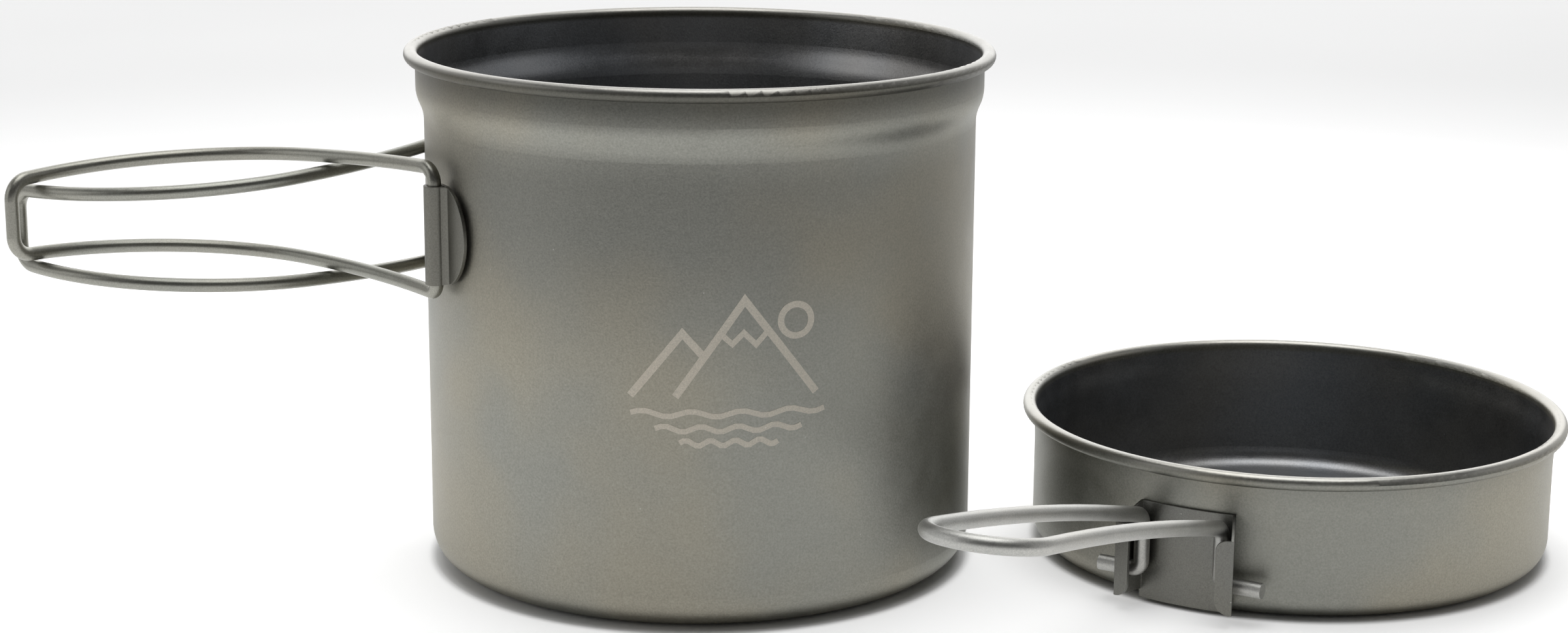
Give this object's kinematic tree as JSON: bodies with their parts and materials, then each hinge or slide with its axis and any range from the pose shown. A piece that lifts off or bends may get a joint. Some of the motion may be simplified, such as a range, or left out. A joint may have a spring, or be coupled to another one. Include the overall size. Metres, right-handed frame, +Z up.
{
  "type": "camping cook pot set",
  "caption": "Tall lightweight pot with folding wire handles that wrap its wall, beside a shallow pan-lid with a folding sprung wire handle; thin drawn sheet with rolled rims.",
  "frame": {"origin": "centre of the pot's flat base, on the ground", "axes": "+Z up; -X the way the pot's open handles point; the pan stands on the +X side and its handle points between -X and -Y"},
  "size_m": [0.3262, 0.1937, 0.1082],
  "materials": {
    "vessel": "fine bead-blasted titanium, matt",
    "bracket": "matt titanium sheet",
    "wire": "satin drawn titanium wire"
  },
  "bodies": {
    "pot": {"pot_body": "vessel", "pot_bracket_front": "bracket", "pot_bracket_rear": "bracket", "pot_spot_welds": "bracket"},
    "pot_loop_front": {"pot_handle_front": "wire"},
    "pot_loop_rear": {"pot_handle_rear": "wire"},
    "pan": {"pan_body": "vessel", "pan_bracket": "bracket", "pan_spot_welds": "bracket"},
    "pan_grip": {"pan_handle_loop": "wire", "pan_handle_legs": "wire"}
  },
  "joints": [
    {"name": "pot_handle_front_swing", "type": "hinge", "parent": "pot", "child": "pot_loop_front", "pos_m": [-0.05468, -0.02434, 0.0738], "axis": [0, 0, 1], "range_deg": [0, 172]},
    {"name": "pot_handle_rear_swing", "type": "hinge", "parent": "pot", "child": "pot_loop_rear", "pos_m": [-0.05468, 0.02434, 0.0706], "axis": [0, 0, -1], "range_deg": [0, 172]},
    {"name": "pan_lift", "type": "slide", "parent": "pot", "child": "pan", "axis": [0, 0, 1], "range_m": [0, 0.12]},
    {"name": "pan_handle_fold", "type": "hinge", "parent": "pan", "child": "pan_grip", "pos_m": [0.0924, -0.05302, 0.0077], "axis": [0.7986, -0.6018, 0], "range_deg": [0, 187], "deforming": ["pan_handle_legs"]}
  ]
}
